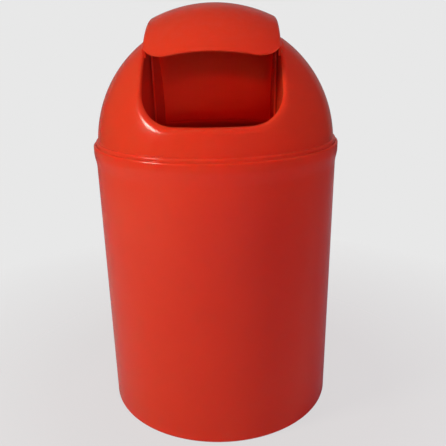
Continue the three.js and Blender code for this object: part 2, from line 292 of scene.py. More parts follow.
def clear_selection():
    """Back to object mode with nothing selected, so that an operator acts on new work only."""
    if bpy.context.mode != "OBJECT":
        bpy.ops.object.mode_set(mode="OBJECT")
    bpy.ops.object.select_all(action="DESELECT")


def make_active(piece):
    clear_selection()
    piece.select_set(True)
    bpy.context.view_layer.objects.active = piece


def arc(centre, radius, start, end, steps):
    """Points of an arc in a plane, both ends included, with angles in degrees. A pair of radii
    makes it elliptic."""
    across, up = radius if isinstance(radius, tuple) else (radius, radius)
    points = []
    for i in range(steps + 1):
        turn = math.radians(start + (end - start) * i / steps)
        points.append((centre[0] + across * math.cos(turn), centre[1] + up * math.sin(turn)))
    return points


def rounded_corner(radius, place, start, edge, steps=3):
    """A corner of a profile, rounded by an arc that begins at 0, 90, 180 or 270 degrees."""
    middle = math.radians(start + 45)
    across, up = math.copysign(edge, math.cos(middle)), math.copysign(edge, math.sin(middle))
    return arc((radius - across, place - up), edge, start, start + 90, steps)


def between(start, end, steps):
    """Evenly spaced values from start to end, both included."""
    return [start + (end - start) * i / steps for i in range(steps + 1)]


def slanted(start, end, steps):
    """Evenly spaced points on the straight line from start to end, both included."""
    return list(zip(between(start[0], end[0], steps), between(start[1], end[1], steps)))


def eased(value):
    """A share from 0 to 1 with a soft start and end."""
    return value * value * (3 - 2 * value)


def drawn(name, points):
    """A chain of edges, drawn from one vertex by extruding it from point to point."""
    clear_selection()
    bpy.ops.mesh.primitive_plane_add(location=(0, 0, 0))
    piece = bpy.context.object
    piece.name = name
    bpy.ops.object.mode_set(mode="EDIT")
    bpy.ops.mesh.merge(type="CENTER")
    bpy.ops.transform.translate(value=points[0])
    for start, end in zip(points, points[1:]):
        bpy.ops.mesh.extrude_region_move(TRANSFORM_OT_translate={"value": end - start})
    return piece


def turned(name, profile, along, steps):
    """A profile of (radius, place) points spun about Z, or about the pivot axis along X."""
    if along == "Z":
        points = [Vector((radius, 0, place)) for radius, place in profile]
        centre, axis = (0, 0, 0), (0, 0, 1)
    else:
        points = [Vector((place, 0, PIVOT.z + radius)) for radius, place in profile]
        centre, axis = PIVOT, (1, 0, 0)
    piece = drawn(name, points)
    bpy.ops.mesh.select_all(action="SELECT")
    bpy.ops.mesh.spin(steps=steps, angle=FULL_TURN, center=centre, axis=axis)
    bpy.ops.mesh.select_all(action="SELECT")
    bpy.ops.mesh.remove_doubles(threshold=TURNED_MERGE)
    bpy.ops.mesh.normals_make_consistent(inside=False)
    bpy.ops.object.mode_set(mode="OBJECT")
    return piece


def cylinder(name, radius, start, end, steps):
    """A cylinder on the pivot axis, from start to end along X."""
    return turned(name, [(0, start), (radius, start), (radius, end), (0, end)], "X", steps)


def drill(radius, start, end, steps):
    """A cutter for a hole on the pivot axis, right through a plate from start to end."""
    return cylinder("drill", radius, start - DRILL_OVERSHOOT, end + DRILL_OVERSHOOT, steps)


def draped(name, lines):
    """A grid laid over a surface that is given as lines of points, counted from the pivot. It
    is closed where the first line and the last one meet."""
    clear_selection()
    columns, rows = len(lines) - 1, len(lines[0]) - 1
    bpy.ops.mesh.primitive_grid_add(x_subdivisions=columns, y_subdivisions=rows, size=1)
    piece = bpy.context.object
    piece.name = name
    for vertex in piece.data.vertices:
        row, column = divmod(vertex.index, columns + 1)
        vertex.co = lines[column][row] + PIVOT
    bpy.ops.object.mode_set(mode="EDIT")
    bpy.ops.mesh.select_all(action="SELECT")
    bpy.ops.mesh.remove_doubles(threshold=DRAPED_MERGE)
    bpy.ops.mesh.normals_make_consistent(inside=False)
    bpy.ops.object.mode_set(mode="OBJECT")
    return piece


def plate(name, outline, inner, outer):
    """A flat plate across X, from inner to outer, with its outline as (y, z) points."""
    piece = drawn(name, [Vector((inner, y, z)) for y, z in outline])
    bpy.ops.mesh.select_all(action="SELECT")
    bpy.ops.mesh.edge_face_add()
    bpy.ops.mesh.extrude_region_move(TRANSFORM_OT_translate={"value": (outer - inner, 0, 0)})
    bpy.ops.mesh.select_all(action="SELECT")
    bpy.ops.mesh.normals_make_consistent(inside=False)
    bpy.ops.object.mode_set(mode="OBJECT")
    return piece


def apply_modifier(piece, kind, **values):
    """Adds a modifier with the values given, and applies it."""
    make_active(piece)
    modifier = piece.modifiers.new(kind.title(), kind)
    for key, value in values.items():
        setattr(modifier, key, value)
    bpy.ops.object.modifier_apply(modifier=modifier.name)


def cut(piece, cutter, operation):
    """Joins the cutter to the piece or takes it away, and deletes the cutter."""
    apply_modifier(piece, "BOOLEAN", operation=operation, object=cutter, solver="EXACT")
    bpy.data.objects.remove(cutter)


def join(piece, others):
    """Makes the others part of the piece's mesh."""
    make_active(piece)
    for other in others:
        other.select_set(True)
    bpy.ops.object.join()


def mirrored(piece, name):
    """A copy on the other side of the plane x = 0, with its faces still pointing outwards."""
    make_active(piece)
    bpy.ops.object.duplicate()
    copy = bpy.context.object
    copy.name = name
    bpy.ops.object.mode_set(mode="EDIT")
    bpy.ops.mesh.select_all(action="SELECT")
    bpy.ops.transform.mirror(constraint_axis=(True, False, False), center_override=(0, 0, 0))
    bpy.ops.mesh.normals_make_consistent(inside=False)
    bpy.ops.object.mode_set(mode="OBJECT")
    return copy


def finish_piece(piece, node, body, finish):
    """Shades the piece, gives it its finish, hangs it on its body, and hides the imported node that it
    stands for.
    """
    make_active(piece)
    bpy.ops.object.transform_apply(location=True, rotation=True, scale=True)
    bpy.ops.object.shade_smooth_by_angle(angle=SMOOTH_ANGLE)
    piece.data.materials.clear()
    piece.data.materials.append(bpy.data.materials[finish])
    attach(piece, body)
    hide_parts(node)


# Shape of the dome and the hood


def on_dome(sizes, point, inward):
    """Where the line through point along inward meets the dome, about the dome's centre."""
    scale = Vector((1 / sizes.radius, 1 / sizes.radius, 1 / sizes.rise))
    start = point * scale
    heading = inward * scale
    a = heading.dot(heading)
    b = start.dot(heading)
    c = start.dot(start) - 1
    return point - inward * ((b + math.sqrt(b * b - a * c)) / a)


def mouth_half(sizes):
    """Stations along the right half of the mouth's edge, from the middle of the sill to the
    middle of the rear edge: (point on the edge, outward direction, inward direction)."""
    half, sill = sizes.mouth_half_width, sizes.sill
    corner, slot, rear = sizes.corner_radius, sizes.slot_length, sizes.slot_corner
    ahead, down = Vector((0, 1, 0)), Vector((0, 0, -1))

    def pointing(turn):
        return Vector((0, math.cos(turn), -math.sin(turn)))

    def edge(x, y, z, inward):
        return on_dome(sizes, Vector((x, y, z)), inward)

    side_start = edge(half, 0, sill + corner, ahead)
    side_end = edge(half, slot - rear, 0, down)
    low = math.atan2(side_start.z, -side_start.y)
    high = math.atan2(side_end.z, -side_end.y)
    stations = []
    for x in between(0, half - corner, steps=18)[:-1]:
        stations.append((edge(x, 0, sill, ahead), down, ahead))
    for step in between(0, 1, steps=30)[:-1]:
        turn = step * QUARTER_TURN
        out = Vector((math.sin(turn), 0, -math.cos(turn)))
        middle = Vector((half - corner, 0, sill + corner))
        point = edge(*(middle + out * corner), ahead)
        stations.append((point, out, pointing(low * eased(step))))
    for turn in between(low, high, steps=60)[:-1]:
        point = edge(half, 0, 0, pointing(turn))
        stations.append((point, Vector((1, 0, 0)), pointing(turn)))
    for step in between(0, 1, steps=16)[:-1]:
        turn = step * QUARTER_TURN
        out = Vector((math.cos(turn), math.sin(turn), 0))
        middle = Vector((half - rear, slot - rear, 0))
        point = edge(*(middle + out * rear), down)
        stations.append((point, out, pointing(high + (QUARTER_TURN - high) * eased(step))))
    for x in between(half - rear, 0, steps=24):
        stations.append((edge(x, slot, 0, down), Vector((0, 1, 0)), down))
    return stations


def mouth_loop(sizes):
    """The stations all the way round, each with its bearing for the dome's base."""
    right = mouth_half(sizes)
    steps = [(b[0] - a[0]).length for a, b in zip(right, right[1:])]
    total = sum(steps)
    bearings = [math.pi * (sum(steps[:i]) / total - 0.5) for i in range(len(right))]
    flip = Vector((-1, 1, 1))
    left = [(point * flip, out * flip, inward) for point, out, inward in reversed(right)]
    turned_left = [math.pi - bearing for bearing in reversed(bearings)]
    stations = right + left[1:]
    return list(zip(stations, bearings + turned_left[1:]))


def slerp(start, end, fraction):
    """A point on the great circle between two unit vectors."""
    opening = start.angle(end)
    weights = math.sin((1 - fraction) * opening), math.sin(fraction * opening)
    return (start * weights[0] + end * weights[1]) / math.sin(opening)


def lid_column(sizes, station, bearing):
    """One line over the lid's skin: up the lip, round the roll, down the dome and the foot."""
    point, out, inward = station
    roll = sizes.roll
    spread = roll * (1 + 2 * sizes.roll_swell * max(-abs(out.x) * out.z, 0))
    edge = on_dome(sizes, point, inward)
    line = [edge + inward * depth for depth in between(sizes.lip_depth, roll, steps=3)[:-1]]
    for turn in between(QUARTER_TURN, 0, steps=12):
        skin = on_dome(sizes, point + out * (spread * (1 - math.sin(turn))), inward)
        line.append(skin + inward * (roll * (1 - math.cos(turn))))
    size = Vector((sizes.radius, sizes.radius, sizes.rise))
    top = sizes.foot_height - sizes.foot_bottom
    slope = math.asin((top + sizes.hollow) / sizes.rise)
    heading = Vector((math.cos(bearing), math.sin(bearing), 0))
    start = Vector([line[-1][i] / size[i] for i in range(3)]).normalized()
    end = heading * math.cos(slope) + Vector((0, 0, math.sin(slope)))
    line += [slerp(start, end, step) * size for step in between(0, 1, steps=64)[1:]]
    foot, shoulder = sizes.foot_radius, sizes.shoulder
    dome_foot = sizes.radius * math.cos(slope)
    hollow = (foot - shoulder - dome_foot, sizes.hollow)
    outline = arc((foot - shoulder, top + sizes.hollow), hollow, 180, 270, steps=6)[1:]
    outline += arc((foot - shoulder, top - shoulder), shoulder, 90, 0, steps=16)[1:]
    outline += [(foot, z) for z in between(top - shoulder, -sizes.foot_bottom, steps=6)[1:]]
    return line + [heading * radius + Vector((0, 0, z)) for radius, z in outline]


def lid_skin(sizes):
    """The dome with its rolled mouth and its foot, as one wall."""
    lines = [lid_column(sizes, station, bearing) for station, bearing in mouth_loop(sizes)]
    skin = draped("dome_lid_skin", lines)
    apply_modifier(skin, "SOLIDIFY", thickness=sizes.wall, offset=-1, use_even_offset=True)
    return skin


def web_outline(sizes):
    """Outline of a side wall under the dome, as (y, z). It stays behind the lip's roll along
    the mouth's side, and in the middle of the dome's wall elsewhere."""
    half = sizes.mouth_half_width + sizes.web_wall
    shallow, deep = sizes.wall / 3, (sizes.roll + sizes.lip_depth) / 2 - sizes.web_wall / 2
    bottom = LID_LOW.z - PIVOT.z
    front_limits = [sizes.sill + band * sizes.corner_radius for band in WEB_FRONT_BAND]
    rear_limits = [sizes.slot_length - band * sizes.slot_corner for band in WEB_REAR_BAND]
    outline = []
    for turn in between(*WEB_SWEEP, steps=196):
        heading = Vector((0, -math.cos(math.radians(turn)), math.sin(math.radians(turn))))
        skin = on_dome(sizes, Vector((half, 0, 0)), -heading)
        if turn < 90:
            reach = (skin.z - front_limits[0]) / (front_limits[1] - front_limits[0])
        else:
            reach = (skin.y - rear_limits[0]) / (rear_limits[1] - rear_limits[0])
        reach = min(max(reach, 0), 1)
        point = skin - heading * (shallow + (deep - shallow) * reach)
        if point.z > bottom:
            outline.append((point.y, point.z + PIVOT.z))
    ends = (outline[0][0], LID_LOW.z), (outline[-1][0], LID_LOW.z)
    return [ends[0], *outline, ends[1]]


def stop_rib(name, sizes, turn, beyond):
    """Rib on a side wall that an arm of the hood comes to rest against."""
    pivot, inner = sizes.pivot, sizes.hood.half_width - sizes.hood.wall
    outer = sizes.lid.mouth_half_width + sizes.lid.web_wall / 2
    start = pivot.gap if beyond > 0 else -pivot.gap - pivot.stop_width
    size = Vector((outer - inner, pivot.stop_width, pivot.stop_length))
    middle = Vector(((inner + outer) / 2, start + size.y / 2, pivot.stop_start + size.z / 2))
    clear_selection()
    bpy.ops.mesh.primitive_cube_add(size=1)
    rib = bpy.context.object
    rib.name = name
    rib.matrix_world = (
        Matrix.Translation(PIVOT)
        @ Matrix.Rotation(QUARTER_TURN - turn, 4, "X")
        @ Matrix.Translation(middle)
        @ Matrix.Diagonal(size).to_4x4()
    )
    make_active(rib)
    bpy.ops.object.transform_apply(location=True, rotation=True, scale=True)
    apply_modifier(rib, "BEVEL", width=pivot.stop_edge, segments=EDGE_SEGMENTS)
    return rib


def clear_of_dome(settings, x):
    """Distance from the pivot axis at which the hood clears the dome."""
    lid = settings.lid
    return lid.rise * math.sqrt(1 - (x / lid.radius) ** 2) + settings.hood.running_gap


def hood_section(settings):
    """Cross-section of the hood from its right skirt over the crown to its left skirt, as
    (x, distance from the pivot axis)."""
    sizes = settings.hood
    half, round_off = sizes.half_width, sizes.shoulder_radius
    inner = sizes.radius - round_off
    shoulder = math.sqrt(inner ** 2 - (half - round_off) ** 2)
    slope = math.degrees(math.asin((half - round_off) / inner))
    skirt = [(half, r) for r in between(clear_of_dome(settings, half), shoulder, steps=8)[:-1]]
    corner = arc((shoulder, half - round_off), round_off, 90, slope, steps=10)
    crown = arc((0, 0), sizes.radius, slope, 0, steps=34)[1:]
    right = skirt + [(x, r) for r, x in corner + crown]
    return right + [(-x, r) for x, r in reversed(right[:-1])]


def corner_retreat(sizes, x, corner):
    """How far an edge of the hood draws back at x to round its corner."""
    past = abs(x) - (sizes.half_width + sizes.side_margin - corner)
    return corner - math.sqrt(corner ** 2 - past ** 2) if past > 0 else 0


def hood_column(settings, x, radius):
    """One line over the hood: from the front edge to the rear, round the roll and down."""
    sizes = settings.hood
    front = sizes.front + math.asin(corner_retreat(sizes, x, sizes.front_corner) / radius)
    back = corner_retreat(sizes, x, sizes.rear_corner)
    floor = math.sqrt(clear_of_dome(settings, x) ** 2 - back ** 2)
    roll = min(sizes.rear_roll, max(math.sqrt(radius ** 2 - back ** 2) - floor, 0))
    rear = sizes.rear - math.asin((back + roll) / radius)
    line = []
    for turn in between(front, rear, steps=96):
        line.append(Vector((x, -radius * math.cos(turn), radius * math.sin(turn))))
    ahead = Vector((0, math.sin(sizes.rear), math.cos(sizes.rear)))
    up = Vector((0, -math.cos(sizes.rear), math.sin(sizes.rear)))

    def behind(inset, rise):
        return Vector((x, 0, 0)) - ahead * inset + up * rise

    for turn in between(0, QUARTER_TURN, steps=10)[1:]:
        inset = back + roll * (1 - math.sin(turn))
        rise = math.sqrt(radius ** 2 - inset ** 2) - roll * (1 - math.cos(turn))
        line.append(behind(inset, rise))
    last = math.sqrt(radius ** 2 - back ** 2) - roll
    line += [behind(back, rise) for rise in between(last, floor, steps=5)[1:]]
    return line


def hood_skin(settings):
    """The hood's rounded shell, as one wall, without its arms."""
    lines = [hood_column(settings, x, radius) for x, radius in hood_section(settings)]
    skin = draped("hood_skin", lines)
    apply_modifier(skin, "SOLIDIFY", thickness=settings.hood.wall, offset=-1)
    return skin


# Pieces inside the shells, and profiles of the turned pieces as (radius, place) points


def pail_profile(sizes):
    """From the middle of the pail's underside out, up over the rim, and down inside."""
    crest, flare = sizes.height - sizes.crest_drop, sizes.height - sizes.flare_height
    ledge, bottom = sizes.height - sizes.socket_depth, sizes.bottom_lift + sizes.bottom
    lip, corner, ring_edge = sizes.lip, sizes.edge_radius, sizes.ring_edge
    crown, socket = sizes.rim_wall - lip, sizes.crest_radius - sizes.rim_wall
    ring = sizes.base_radius - corner
    ring_inside = ring - sizes.ring_width
    inside, base = sizes.top_radius - sizes.wall, sizes.base_radius - sizes.wall
    swell = (sizes.crest_radius - sizes.top_radius) / 2
    swelling = [
        (sizes.top_radius + swell * (1 - math.cos(math.pi * step)), flare + (crest - flare) * step)
        for step in between(0, 1, steps=28)
    ]
    return [
        (0, sizes.bottom_lift),
        (ring_inside - sizes.bottom_lift, sizes.bottom_lift),
        *arc((ring_inside, ring_edge), ring_edge, 180, 270, steps=3),
        *arc((ring, corner), corner, -90, 0, steps=10),
        *slanted((sizes.base_radius, corner), (sizes.top_radius, flare), steps=40)[1:-1],
        *swelling,
        *arc((socket + lip, sizes.height - crown), crown, 0, 90, steps=18),
        *arc((socket + lip, sizes.height - lip), lip, 90, 180, steps=4)[1:],
        (socket, ledge),
        *slanted((inside, ledge), (inside, flare), steps=4),
        *slanted((inside, flare), (base, bottom + corner), steps=30)[1:],
        *arc((base - corner, bottom + corner), corner, 0, -90, steps=8)[1:],
        (0, bottom),
    ]


def side_wall(settings):
    """The right side wall inside the mouth, with the bore for the pivot pin."""
    sizes, pivot = settings.lid, settings.pivot
    inner, outer = sizes.mouth_half_width, sizes.mouth_half_width + sizes.web_wall
    web = plate("web", web_outline(sizes), inner, outer)
    cut(web, drill(pivot.shank + pivot.gap, inner, outer, settings.small_steps), "DIFFERENCE")
    return web


def pin_boss(settings):
    """The boss outside the right side wall, round the bore for the pivot pin."""
    sizes, pivot = settings.lid, settings.pivot
    outer, edge = sizes.mouth_half_width + sizes.web_wall, sizes.boss_edge
    bore, start, end = pivot.shank + pivot.gap, outer - sizes.boss_sink, outer + sizes.boss_height
    profile = [
        (bore, start),
        (bore, end),
        *arc((sizes.boss_radius - edge, end - edge), edge, 90, 0, steps=5),
        (sizes.boss_radius, start),
        (bore, start),
    ]
    return turned("boss", profile, "X", settings.small_steps)


def hood_arm(settings):
    """The arm from the hood's right skirt to its round hub, with the bore for the bush."""
    sizes, pivot = settings.hood, settings.pivot
    inner, outer = sizes.half_width - sizes.wall, sizes.half_width
    end = clear_of_dome(settings, inner) + sizes.wall
    start, stop = math.degrees(sizes.arm_front), math.degrees(sizes.arm_rear)
    fan = [(0, 0), *arc((0, 0), end, start, stop, steps=24)]
    arm = plate("arm", [(-y, z + PIVOT.z) for y, z in fan], inner, outer)
    cut(arm, cylinder("hub", sizes.hub_radius, inner, outer, settings.small_steps), "UNION")
    bore = BUSH_HIGH.z - PIVOT.z - pivot.flange_width + pivot.gap
    cut(arm, drill(bore, inner, outer, settings.small_steps), "DIFFERENCE")
    return arm


def pin_profile(pivot):
    """A pivot pin: its domed head, its shank, the groove for the clip and the rounded tip."""
    shank, head = pivot.shank, PIN_HIGH.z - PIVOT.z
    start, end = PIN_LOW.x, PIN_HIGH.x
    under_head = start + pivot.head
    groove_end = end - pivot.tail
    groove_start = groove_end - (CLIP_HIGH.x - CLIP_LOW.x) - 2 * pivot.gap
    neck = shank - pivot.groove
    return [
        (0, start),
        *rounded_corner(head, start, 270, pivot.head_dome, steps=6),
        *rounded_corner(head, under_head, 0, pivot.edge),
        (shank, under_head),
        (shank, groove_start),
        (neck, groove_start),
        (neck, groove_end),
        (shank, groove_end),
        *rounded_corner(shank, end, 0, pivot.tip_edge, steps=4),
        (0, end),
    ]


def bush_profile(pivot):
    """A flanged bush, from its bore out over the barrel, round the flange and back."""
    edge, inner = pivot.edge, pivot.shank + pivot.gap
    outer, low, high = BUSH_HIGH.z - PIVOT.z, BUSH_LOW.x, BUSH_HIGH.x
    barrel, flange = outer - pivot.flange_width, high - pivot.flange_thickness
    return [
        *rounded_corner(inner, low, 180, edge),
        *rounded_corner(barrel, low, 270, edge),
        (barrel, flange),
        *rounded_corner(outer, flange, 270, edge),
        *rounded_corner(outer, high, 0, edge),
        *rounded_corner(inner, high, 90, edge),
        (inner, low + edge),
    ]


def clip_profile(pivot):
    """A retaining clip: a flat ring with rounded edges, in the pin's groove."""
    edge, bore = pivot.edge, pivot.shank - pivot.groove + pivot.gap
    rim, face, back = CLIP_HIGH.z - PIVOT.z, CLIP_LOW.x, CLIP_HIGH.x
    return [
        *rounded_corner(bore, face, 180, edge),
        *rounded_corner(rim, face, 270, edge),
        *rounded_corner(rim, back, 0, edge),
        *rounded_corner(bore, back, 90, edge),
        (bore, face + edge),
    ]


# Materials


def feed(links, socket, value):
    """Links an output to the socket, or sets the socket to a plain value."""
    if isinstance(value, bpy.types.NodeSocket):
        links.new(value, socket)
    else:
        socket.default_value = value


def opaque(tint, strength=1.0):
    """A colour at a share of its strength, with its alpha."""
    return (*[value * strength for value in tint], 1)


def new_group(name, inputs, outputs):
    """An empty node group with named sockets, and its two end nodes."""
    group = bpy.data.node_groups.new(name, "ShaderNodeTree")
    for socket, kind, default in inputs:
        made = group.interface.new_socket(socket, in_out="INPUT", socket_type=kind)
        if default is not None:
            made.default_value = default
    for socket, kind in outputs:
        group.interface.new_socket(socket, in_out="OUTPUT", socket_type=kind)
    return group, group.nodes.new("NodeGroupInput"), group.nodes.new("NodeGroupOutput")


def noise(nodes, links, vector, scale, detail, roughness=0.5):
    node = nodes.new("ShaderNodeTexNoise")
    node.inputs["Detail"].default_value = detail
    node.inputs["Roughness"].default_value = roughness
    links.new(vector, node.inputs["Vector"])
    feed(links, node.inputs["Scale"], scale)
    return node.outputs["Fac"]


def math_node(nodes, links, operation, *values, clamp=False):
    node = nodes.new("ShaderNodeMath")
    node.operation = operation
    node.use_clamp = clamp
    for socket, value in zip(node.inputs, values):
        feed(links, socket, value)
    return node.outputs[0]


def ranged(nodes, links, value, low, high, to_low=0.0, to_high=1.0):
    """The value stretched from low and high to 0 and 1, or to the two ends given."""
    node = nodes.new("ShaderNodeMapRange")
    node.clamp = True
    links.new(value, node.inputs["Value"])
    ends = {"From Min": low, "From Max": high, "To Min": to_low, "To Max": to_high}
    for name, number in ends.items():
        feed(links, node.inputs[name], number)
    return node.outputs["Result"]


def mixed(nodes, links, factor, first, second):
    """A blend of two colours."""
    node = nodes.new("ShaderNodeMix")
    node.data_type = "RGBA"
    colours = [socket for socket in node.inputs if socket.type == "RGBA"]
    for socket, value in zip((node.inputs[0], *colours), (factor, first, second)):
        feed(links, socket, value)
    return next(socket for socket in node.outputs if socket.type == "RGBA")


def mixed_shader(nodes, links, factor, first, second):
    """A blend of two shaders."""
    node = nodes.new("ShaderNodeMixShader")
    for socket, value in zip(node.inputs, (factor, first, second)):
        links.new(value, socket)
    return node.outputs[0]


def moulding_group():
    """Moulded plastic: slow change of colour, fine ripple of the surface, uneven gloss."""
    group, start, end = new_group(
        "moulded_surface",
        [
            ("Vector", "NodeSocketVector", None),
            ("Colour", "NodeSocketColor", (0.6, 0.6, 0.6, 1)),
            ("Deep Colour", "NodeSocketColor", (0.5, 0.5, 0.5, 1)),
            ("Flow Scale", "NodeSocketFloat", 6.0),
            ("Ripple Scale", "NodeSocketFloat", 160.0),
            ("Gloss Low", "NodeSocketFloat", 0.25),
            ("Gloss High", "NodeSocketFloat", 0.32),
        ],
        [
            ("Colour", "NodeSocketColor"),
            ("Roughness", "NodeSocketFloat"),
            ("Height", "NodeSocketFloat"),
        ],
    )
    nodes, links = group.nodes, group.links
    vector = start.outputs["Vector"]
    fine_share, speckle_share, speckle_height = 0.6, 0.4, 0.15
    flow = noise(nodes, links, vector, start.outputs["Flow Scale"], detail=4)
    fine = noise(nodes, links, vector, start.outputs["Ripple Scale"], detail=3)
    speckle = noise(nodes, links, vector, scale=900.0, detail=2)
    blend = ranged(nodes, links, flow, low=0.3, high=0.7)
    tint = mixed(nodes, links, blend, start.outputs["Deep Colour"], start.outputs["Colour"])
    links.new(tint, end.inputs["Colour"])
    speckled = math_node(nodes, links, "MULTIPLY", speckle, speckle_share)
    uneven = math_node(nodes, links, "MULTIPLY_ADD", fine, fine_share, speckled)
    gloss_ends = start.outputs["Gloss Low"], start.outputs["Gloss High"]
    gloss = ranged(nodes, links, uneven, 0.3, 0.7, *gloss_ends)
    links.new(gloss, end.inputs["Roughness"])
    height = math_node(nodes, links, "MULTIPLY_ADD", speckle, speckle_height, fine)
    links.new(height, end.inputs["Height"])
    return group


def handling_group():
    """Marks of use: hair scratches, rubbed patches that fade out above a height, settled dust."""
    group, start, end = new_group(
        "handling_marks",
        [
            ("Vector", "NodeSocketVector", None),
            ("Low", "NodeSocketFloat", 0.0),
            ("Fade", "NodeSocketFloat", 0.05),
            ("Scratch Amount", "NodeSocketFloat", 0.5),
        ],
        [
            ("Scratches", "NodeSocketFloat"),
            ("Rubbing", "NodeSocketFloat"),
            ("Dust", "NodeSocketFloat"),
        ],
    )
    nodes, links = group.nodes, group.links
    vector = start.outputs["Vector"]
    turns_and_stretches = ((25, (900, 18, 18)), (-40, (22, 1100, 22)), (70, (700, 14, 30)))
    lines = []
    for turn, stretch in turns_and_stretches:
        mapping = nodes.new("ShaderNodeMapping")
        mapping.inputs["Rotation"].default_value = (0, math.radians(turn), math.radians(turn / 2))
        mapping.inputs["Scale"].default_value = stretch
        links.new(vector, mapping.inputs["Vector"])
        line = noise(nodes, links, mapping.outputs["Vector"], scale=1.0, detail=1, roughness=0.3)
        lines.append(ranged(nodes, links, line, low=0.70, high=0.74))
    scratches = math_node(nodes, links, "MAXIMUM", *lines[:2])
    scratches = math_node(nodes, links, "MAXIMUM", scratches, lines[2])
    patches = noise(nodes, links, vector, scale=14.0, detail=3)
    where = ranged(nodes, links, patches, low=0.5, high=0.7)
    scratches = math_node(nodes, links, "MULTIPLY", scratches, where)
    scratches = math_node(nodes, links, "MULTIPLY", scratches, start.outputs["Scratch Amount"])
    links.new(scratches, end.inputs["Scratches"])
    split = nodes.new("ShaderNodeSeparateXYZ")
    links.new(vector, split.inputs[0])
    above = math_node(nodes, links, "SUBTRACT", split.outputs["Z"], start.outputs["Low"])
    low = math_node(nodes, links, "DIVIDE", above, start.outputs["Fade"])
    low = math_node(nodes, links, "SUBTRACT", 1.0, low, clamp=True)
    rough_patches = noise(nodes, links, vector, scale=90.0, detail=5, roughness=0.65)
    rubbed_patches = ranged(nodes, links, rough_patches, low=0.45, high=0.62)
    rubbed = math_node(nodes, links, "MULTIPLY", low, rubbed_patches)
    links.new(rubbed, end.inputs["Rubbing"])
    geometry = nodes.new("ShaderNodeNewGeometry")
    facing = nodes.new("ShaderNodeSeparateXYZ")
    links.new(geometry.outputs["Normal"], facing.inputs[0])
    level = ranged(nodes, links, facing.outputs["Z"], low=0.55, high=1.0)
    dusty_patches = ranged(nodes, links, rough_patches, low=0.4, high=0.75)
    dusty = math_node(nodes, links, "MULTIPLY", level, dusty_patches)
    links.new(dusty, end.inputs["Dust"])
    return group


def bare_material(name):
    """A new material with its nodes, links, shader and Object coordinates."""
    material = bpy.data.materials.new(name)
    material.use_nodes = True
    nodes, links = material.node_tree.nodes, material.node_tree.links
    shader = nodes["Principled BSDF"]
    vector = nodes.new("ShaderNodeTexCoord").outputs["Object"]
    return material, nodes, links, shader, vector


def add_group(nodes, links, group, vector, **values):
    """Places a node group with its own values, and returns its outputs."""
    node = nodes.new("ShaderNodeGroup")
    node.node_tree = group
    links.new(vector, node.inputs["Vector"])
    for name, value in values.items():
        node.inputs[name.replace("_", " ")].default_value = value
    return node.outputs


def add_bump(nodes, links, shader, height, distance):
    """Gives the shader a bump from a height that runs from 0 to the distance."""
    bump = nodes.new("ShaderNodeBump")
    bump.inputs["Strength"].default_value = 1.0
    bump.inputs["Distance"].default_value = distance
    links.new(height, bump.inputs["Height"])
    links.new(bump.outputs["Normal"], shader.inputs["Normal"])


def shell_material(finish, name, moulding, handling, low, fade, scratches):
    """Glossy moulded plastic with its fine ripple, hair scratches, rubbing and dust."""
    _, nodes, links, shader, vector = bare_material(name)
    surface = add_group(
        nodes, links, moulding, vector,
        Colour=opaque(finish.shell), Deep_Colour=opaque(finish.shell_deep), Flow_Scale=5.0,
        Ripple_Scale=130.0, Gloss_Low=finish.shell_roughness - finish.gloss_spread,
        Gloss_High=finish.shell_roughness + finish.gloss_spread,
    )
    marks = add_group(
        nodes, links, handling, vector, Low=low, Fade=fade, Scratch_Amount=scratches
    )
    tint = surface["Colour"]
    for mark, share_shown, colour_shown in (
        ("Rubbing", finish.rubbing_tint, finish.shell_scuff),
        ("Dust", finish.dust_tint, finish.dust),
    ):
        shown = math_node(nodes, links, "MULTIPLY", marks[mark], share_shown)
        tint = mixed(nodes, links, shown, tint, opaque(colour_shown))
    links.new(tint, shader.inputs["Base Color"])
    rough = surface["Roughness"]
    for mark, dulling in (
        ("Rubbing", finish.rubbing_dulls),
        ("Dust", finish.dust_dulls),
        ("Scratches", finish.scratch_dulls),
    ):
        rough = math_node(nodes, links, "MULTIPLY_ADD", marks[mark], dulling, rough)
    links.new(rough, shader.inputs["Roughness"])
    height = math_node(
        nodes, links, "MULTIPLY_ADD", marks["Scratches"], -finish.scratch_depth, surface["Height"]
    )
    add_bump(nodes, links, shader, height, finish.shell_ripple)
    shader.inputs["IOR"].default_value = finish.shell_index
    shader.inputs["Specular IOR Level"].default_value = finish.shell_shine
    shader.inputs["Subsurface Weight"].default_value = finish.glow
    shader.inputs["Subsurface Radius"].default_value = finish.glow_colour
    shader.inputs["Subsurface Scale"].default_value = finish.glow_depth


def nylon_material(finish, moulding):
    """Natural nylon: duller, with a finer grain."""
    _, nodes, links, shader, vector = bare_material(NYLON_FINISH)
    surface = add_group(
        nodes, links, moulding, vector,
        Colour=opaque(finish.nylon), Deep_Colour=opaque(finish.nylon, finish.nylon_deep),
        Flow_Scale=90.0, Ripple_Scale=1200.0, Gloss_Low=0.42, Gloss_High=0.55,
    )
    links.new(surface["Colour"], shader.inputs["Base Color"])
    links.new(surface["Roughness"], shader.inputs["Roughness"])
    add_bump(nodes, links, shader, surface["Height"], finish.nylon_grain)


